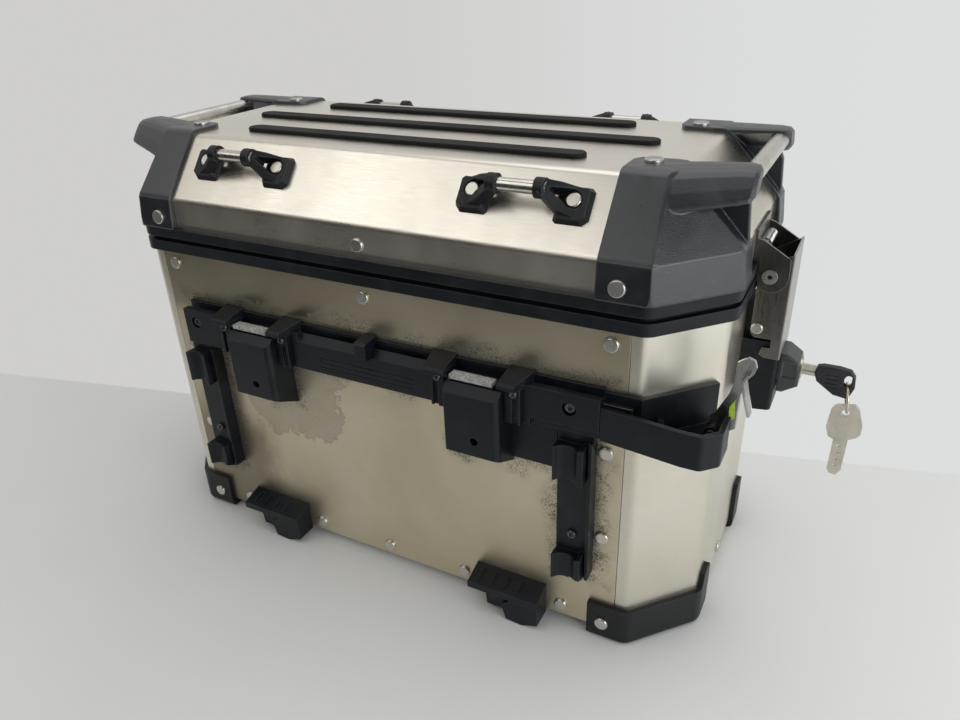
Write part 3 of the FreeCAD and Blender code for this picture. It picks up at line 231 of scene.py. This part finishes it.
def moulded(name, base=(0.0034, 0.0052, 0.0084), rough=0.40, grain=1500.0, depth=0.00008, dust=0.03,
            sheen=0.33, edge_radius=0.0007):
    """Black glass-filled nylon with a spark-eroded grain, faint dust and rubbed edges."""
    shade = Shade(name)
    pebbles = shade.noise(shade.place, grain, 2.0, 0.6)
    wear = shade.noise(shade.place, 45.0, 4.0, 0.6, 0.5)
    specks = shade.span(shade.noise(shade.place, 2600.0, 1.0, 0.5), 0.68, 0.80)
    soft, edge = shade.rounded(edge_radius)
    lighter = (base[0] * 3.2 + 0.012, base[1] * 3.2 + 0.012, base[2] * 3.0 + 0.012, 1)
    colour = shade.mix(shade.span(wear, 0.45, 0.8, 0.0, 0.35), (*base, 1), lighter)
    colour = shade.mix(shade.math("MULTIPLY", specks, dust * 4), colour, grey(0.13, 0.01))
    colour = shade.mix(shade.math("MULTIPLY", edge, shade.span(wear, 0.3, 0.7, 0.35, 0.95)), colour,
                       RUBBED_EDGE)
    roughness = shade.math("ADD", shade.span(wear, 0.3, 0.8, rough - 0.04, rough + 0.09),
                           shade.span(pebbles, 0.3, 0.7, 0.0, 0.05))
    return shade.finish(Base_Color=colour, Roughness=roughness, Specular_IOR_Level=sheen,
                        Normal=shade.bump(pebbles, depth, 0.8, soft))


def rubber(name):
    """Matt black rubber with faint dust along its length."""
    shade = Shade(name)
    grain = shade.noise(shade.place, 1100.0, 3.0, 0.6)
    dust = shade.noise(shade.scaled(0.25, 1, 1), 60.0, 4.0, 0.65)
    soft, edge = shade.rounded(0.0004)
    colour = shade.mix(shade.span(dust, 0.45, 0.8, 0.0, 0.3), (0.0085, 0.0075, 0.0070, 1),
                       (0.030, 0.027, 0.024, 1))
    return shade.finish(Base_Color=colour, Roughness=shade.span(dust, 0.3, 0.8, 0.60, 0.78),
                        Normal=shade.bump(grain, 0.00006, 0.7, soft), Specular_IOR_Level=0.25)


def steel(name, colour=(0.60, 0.585, 0.545), rough=0.30, stretch=(1, 1, 1), scratch=900.0, stain=0.2,
          painted_shade_sides=None):
    """Plain steel: fine scratches along one axis and cloudy handling stains; the last argument, if given,
    is painted shade: a darker colour on the faces that look along Y."""
    shade = Shade(name)
    lines = shade.noise(shade.scaled(*stretch), scratch, 3.0, 0.6)
    clouds = shade.noise(shade.place, 70.0, 4.0, 0.6)
    soft, edge = shade.rounded(0.0004)
    tone = (*colour, 1)
    if painted_shade_sides:
        # painted shade: the faces that look along Y are coloured darker
        painted_shade_mask = shade.span(shade.math("ABSOLUTE", shade.axis(shade.facing, "Y")), 0.6, 0.9)
        tone = shade.mix(painted_shade_mask, tone, (*painted_shade_sides, 1))
    tone = shade.mix(shade.span(clouds, 0.4, 0.75, 0.0, stain), tone, grey(0.16, 0.06))
    tone = shade.mix(shade.span(lines, 0.35, 0.8, 0.0, 0.15), tone, grey(0.30, 0.03))
    tone = shade.mix(shade.math("MULTIPLY", edge, 0.4), tone, grey(0.85, 0.01))
    roughness = shade.math("ADD", shade.span(lines, 0.3, 0.75, rough - 0.05, rough + 0.08),
                           shade.span(clouds, 0.4, 0.8, 0.0, 0.10))
    return shade.finish(Base_Color=tone, Metallic=1.0, Roughness=roughness,
                        Normal=shade.bump(lines, 0.00003, 0.6, soft))


def corner_rivet(name):
    """Rivet with a bright turned rim and a darker, coarse centre."""
    shade = Shade(name)
    up = shade.math("ABSOLUTE", shade.axis(shade.facing, "Z"))
    out = shade.math("ABSOLUTE", shade.axis(shade.facing, "Y"))
    flat = shade.span(shade.math("MAXIMUM", up, out), 0.975, 0.995)
    coarse = shade.noise(shade.place, 1400.0, 2.0, 0.7)
    colour = shade.mix(flat, (0.60, 0.585, 0.55, 1), (0.44, 0.435, 0.42, 1))
    colour = shade.mix(shade.span(coarse, 0.35, 0.65, 0.0, 0.30), colour, (0.24, 0.24, 0.23, 1))
    return shade.finish(Base_Color=colour, Metallic=0.9, Roughness=shade.span(flat, 0, 1, 0.34, 0.50),
                        Normal=shade.bump(coarse, 0.00003, 0.5))


def zinc(name):
    """Hot-dip zinc: rough flakes and bright nodules."""
    shade = Shade(name)
    flakes = shade.cells(shade.place, 420.0, output="Color")
    tone = shade.axis(flakes, "X")
    rough_zinc = shade.noise(shade.place, 700.0, 4.0, 0.7)
    colour = shade.mix(tone, (0.52, 0.53, 0.52, 1), (0.78, 0.79, 0.78, 1))
    colour = shade.mix(shade.span(rough_zinc, 0.52, 0.66), colour, (0.15, 0.155, 0.15, 1))
    return shade.finish(Base_Color=colour, Metallic=0.55,
                        Roughness=shade.span(rough_zinc, 0.3, 0.7, 0.42, 0.70),
                        Normal=shade.bump(rough_zinc, 0.0004, 0.9))


def signal(name):
    """Bright yellow-green plastic."""
    shade = Shade(name)
    grain = shade.noise(shade.place, 500.0, 2.0, 0.5)
    colour = shade.mix(shade.span(grain, 0.3, 0.7), (0.50, 0.70, 0.03, 1), (0.66, 0.82, 0.10, 1))
    return shade.finish(Base_Color=colour, Roughness=0.28, Normal=shade.bump(grain, 0.00005, 0.4),
                        Subsurface_Weight=0.15)


def floor_colour_with_painted_light(name):
    """The table's white paint, with painted light: coloured lighter towards its right end."""
    shade = Shade(name)
    tone = shade.noise(shade.place, 3.0, 3.0, 0.5)
    fine = shade.noise(shade.place, 260.0, 3.0, 0.6)
    colour = shade.mix(shade.span(tone, 0.3, 0.7), (0.70, 0.705, 0.69, 1), (0.74, 0.745, 0.735, 1))
    # painted light: the table's right end is coloured lighter
    right = shade.span(shade.axis(shade.place, "X"), -0.35, 0.55)
    colour = shade.mix(right, colour, (0.86, 0.87, 0.865, 1))
    return shade.finish(Base_Color=colour, Roughness=0.62, Normal=shade.bump(fine, 0.0001, 0.25))


ALUMINIUM = aluminium("brushed_aluminium", (0.80, 0.765, 0.67), (0.72, 0.68, 0.575))
PANEL = aluminium("stained_panel", (0.70, 0.63, 0.485), (0.62, 0.545, 0.395), panel_grime, 0.34)
LID = aluminium("lid_aluminium", (0.84, 0.80, 0.725), (0.77, 0.73, 0.635), None, 0.25)
NYLON = moulded("black_nylon")
GUARD_NYLON = moulded("grained_guard_nylon", (0.0068, 0.0092, 0.0135), 0.31, 1150.0, 0.00018, 0.10, 1.0,
                      0.0020)
FOOT_NYLON = moulded("tie_foot_nylon", (0.0065, 0.0072, 0.0085), 0.42, 1400.0, 0.00010, 0.05, 0.35, 0.0011)
BASE_NYLON = moulded("base_corner_nylon", (0.0060, 0.0070, 0.0080), 0.42, 1300.0, 0.00010, 0.05, 0.35,
                     0.0011)
RUBBER = rubber("strip_rubber")
RIVET = steel("rivet_steel", (0.66, 0.64, 0.58), 0.30, scratch=1600.0)
CORNER_RIVET = corner_rivet("corner_rivet_steel")
TUBE = steel("brushed_tube", (0.66, 0.64, 0.59), 0.26, (1, 0.05, 1), 1800.0)
BAR = steel("polished_bar", (0.68, 0.65, 0.60), 0.20, (0.05, 1, 1), 1800.0, 0.1)
# The last colour given to the hasp and bracket steels is painted shade on their faces that look along Y.
HASP = steel("hasp_steel", (0.46, 0.455, 0.43), 0.30, (1, 1, 0.05), 1500.0, 0.12, (0.17, 0.165, 0.15))
BRACKET = steel("bracket_steel", (0.30, 0.29, 0.27), 0.36, (1, 1, 0.08), 1300.0, 0.2, (0.11, 0.108, 0.10))
HOUSING = moulded("lock_housing_nylon", (0.014, 0.017, 0.020), 0.30, 1600.0, 0.00006, 0.04, 0.9, 0.0012)
LEVER = steel("lever_steel", (0.52, 0.53, 0.51), 0.30, (1, 1, 0.3), 1300.0, 0.12)
DARK_STEEL = steel("blackened_steel", (0.10, 0.10, 0.105), 0.40)
KEY_STEEL = steel("nickel_key", (0.66, 0.62, 0.53), 0.32, (1, 1, 0.12), 1500.0)
SPRING = steel("spring_wire", (0.70, 0.69, 0.67), 0.18)
ZINC = zinc("hot_dip_zinc")
KEY_NYLON = moulded("key_nylon", (0.022, 0.022, 0.027), 0.40, 1800.0, 0.00008, 0.03)
SIGNAL = signal("signal_plastic")

FINISH = {
    "aluminium": ALUMINIUM, "black_nylon": NYLON, "rubber": RUBBER, "rivet_steel": RIVET,
    "stainless": HASP, "dark_steel": DARK_STEEL, "zinc_plate": ZINC, "key_steel": KEY_STEEL,
    "key_plastic": KEY_NYLON, "signal_green": SIGNAL,
}
SPECIAL = {
    "back_panel": PANEL, "lid_shell": LID, "lid_corner_rivets": CORNER_RIVET, "end_tube_right": TUBE,
    "end_tube_left": TUBE, "hasp_bracket": BRACKET, "hasp_spring": SPRING, "hasp_pin": RIVET,
    "tie_feet": FOOT_NYLON, "release_lever": LEVER, "lock_housing": HOUSING,
}


def finish_of(part):
    name = part["node"]
    if name.startswith("base_corner_") and name != "base_corner_rivets":
        return BASE_NYLON
    if name in SPECIAL:
        return SPECIAL[name]
    if name.startswith("tie_bar"):
        return BAR
    if name.startswith("lid_corner_"):
        return GUARD_NYLON
    return FINISH[part["material_slot"]]


def paint(thing, material):
    thing.data.materials.clear()
    thing.data.materials.append(material)


for part in frame["record"]["subparts"]:
    paint(NODES[part["node"]], finish_of(part))


# ---- studio ---------------------------------------------------------------------------------
GROUND = CAD_BOX[0][2]
REACH = 6.0
SEAM_LEFT = Vector((-REACH, -1.350, GROUND))      # the table's far edge
SEAM_RIGHT = Vector((REACH, 1.583, GROUND))
CARD_LIFT = 0.002                                 # the dark card lies just clear of the table
WALL = (0.625, 0.62, 0.61, 1)
# glow colour of the wall's right end: painted light
WALL_RIGHT_PAINTED_LIGHT = (0.72, 0.735, 0.73, 1)
WALL_CENTRE = (0.32, -0.53)                       # X and Y that the wall's brightness turns about
ROOM = (0.07, 0.07, 0.068, 1)                     # the dark room in front of the table


def quad(name, corners, material):
    """Flat four-cornered sheet."""
    mesh = bpy.data.meshes.new(name)
    mesh.from_pydata(corners, [], [(0, 1, 2, 3)])
    thing = bpy.data.objects.new(name, mesh)
    bpy.context.scene.collection.objects.link(thing)
    mesh.materials.append(material)
    return thing


def softbox(name, centre, target, width, height, power, colour=(1, 1, 1)):
    """Rectangular area light that looks at a target and is not seen by the camera."""
    light = bpy.data.lights.new(name, "AREA")
    light.shape = "RECTANGLE"
    light.size = width
    light.size_y = height
    light.energy = power
    light.color = colour
    thing = bpy.data.objects.new(name, light)
    bpy.context.scene.collection.objects.link(thing)
    thing.location = centre
    thing.rotation_euler = (Vector(target) - Vector(centre)).to_track_quat("-Z", "Y").to_euler()
    thing.visible_camera = False
    return thing


def plain(name, colour):
    """Flat matt paint without any shine."""
    return Shade(name).finish(Base_Color=colour, Roughness=1.0, Specular_IOR_Level=0.0)


def glowing_wall(name):
    """The white wall behind the table: a glowing sheet, with painted light brighter towards its right end.
    """
    shade = Shade(name)
    x = shade.math("SUBTRACT", shade.axis(shade.place, "X"), WALL_CENTRE[0])
    y = shade.math("SUBTRACT", shade.axis(shade.place, "Y"), WALL_CENTRE[1])
    across = shade.math("DIVIDE", x, shade.math("MAXIMUM", y, 0.1))
    # painted light: the glow is brighter towards the wall's right end
    colour = shade.mix(shade.span(across, -0.75, 0.0), WALL, WALL_RIGHT_PAINTED_LIGHT)
    return shade.finish(Base_Color=(0, 0, 0, 1), Roughness=1.0, Specular_IOR_Level=0.0,
                        Emission_Color=colour, Emission_Strength=1.0)


def studio_world():
    """White walls all round but for the dark room in front."""
    world = bpy.data.worlds.new("studio")
    world.use_nodes = True
    nodes, links = world.node_tree.nodes, world.node_tree.links
    direction = nodes.new("ShaderNodeTexCoord").outputs["Generated"]
    axes = nodes.new("ShaderNodeSeparateXYZ")
    links.new(direction, axes.inputs[0])
    fade = nodes.new("ShaderNodeMapRange")
    fade.interpolation_type = "SMOOTHSTEP"
    fade.inputs["From Min"].default_value = -0.45
    fade.inputs["From Max"].default_value = 0.10
    links.new(axes.outputs["Y"], fade.inputs["Value"])
    mix = nodes.new("ShaderNodeMix")
    mix.data_type = "RGBA"
    links.new(fade.outputs[0], mix.inputs[0])
    mix.inputs[6].default_value = ROOM
    mix.inputs[7].default_value = WALL
    links.new(mix.outputs[2], nodes["Background"].inputs["Color"])
    nodes["Background"].inputs["Strength"].default_value = 1.0
    return world


table_top = quad(
    "table_top",
    [(-REACH, -REACH, GROUND), (REACH, -REACH, GROUND), tuple(SEAM_RIGHT), tuple(SEAM_LEFT)],
    floor_colour_with_painted_light("table_colour_painted_light"))
backdrop = quad(
    "backdrop",
    [tuple(SEAM_LEFT), tuple(SEAM_RIGHT), (REACH, 3 * REACH, GROUND), (-REACH, 3 * REACH, GROUND)],
    glowing_wall("backdrop_painted_glow"))

# Dark cards that the camera doesn't see: the room in front of the table, and a flag that keeps the
# room's light off the lid's corner facets. The card and the flag are seen only by reflections.
DARK = plain("dark_card_paint", (0.065, 0.065, 0.062, 1))
card_z = GROUND + CARD_LIFT
dark_card = quad(
    "dark_card", [(-3, -0.50, card_z), (0.32, -0.50, card_z), (0.9, -4, card_z), (-3, -4, card_z)], DARK)
dark_curtain = quad(
    "dark_curtain", [(-3, -2.4, GROUND), (1.2, -2.4, GROUND), (1.2, -2.4, 1.1), (-3, -2.4, 1.1)], DARK)
dark_flag = quad(
    "dark_flag", [(1.36, -0.45, 0.85), (1.36, 0.45, 0.85), (0.78, 0.45, 1.43), (0.78, -0.45, 1.43)], DARK)
for card in (dark_card, dark_curtain, dark_flag):
    card.visible_camera = False
    card.visible_shadow = False
    card.visible_transmission = False
for card in (dark_card, dark_flag):
    card.visible_diffuse = False

bpy.context.scene.world = studio_world()

softbox("softbox_front_left", (-1.0, -1.4, 1.75), (0, 0, 0.3), 1.9, 1.3, 11.0, (1.0, 0.985, 0.95))
softbox("softbox_right", (2.5, -1.0, 0.85), (0.2, 0, 0.15), 2.2, 1.3, 34.0, (0.96, 0.99, 1.0))
softbox("softbox_top", (0.3, 0.4, 2.4), (0.1, 0.0, 0.0), 2.6, 2.6, 17.0)

camera_data = bpy.data.cameras.new("camera")
camera_data.lens = 28.9
camera_data.sensor_width = 36.0
camera_data.clip_start = 0.02
camera_data.clip_end = 60.0
camera = bpy.data.objects.new("camera", camera_data)
bpy.context.scene.collection.objects.link(camera)
AZIMUTH, ELEVATION, ROLL = 28.66, 27.68, -2.118
turn = (Matrix.Rotation(math.radians(AZIMUTH), 4, "Z")
        @ Matrix.Rotation(math.radians(90 - ELEVATION), 4, "X")
        @ Matrix.Rotation(math.radians(ROLL), 4, "Z"))
camera.matrix_world = Matrix.Translation((0.31967, -0.52973, 0.4553)) @ turn
bpy.context.scene.camera = camera
bpy.context.scene.view_settings.view_transform = "Standard"
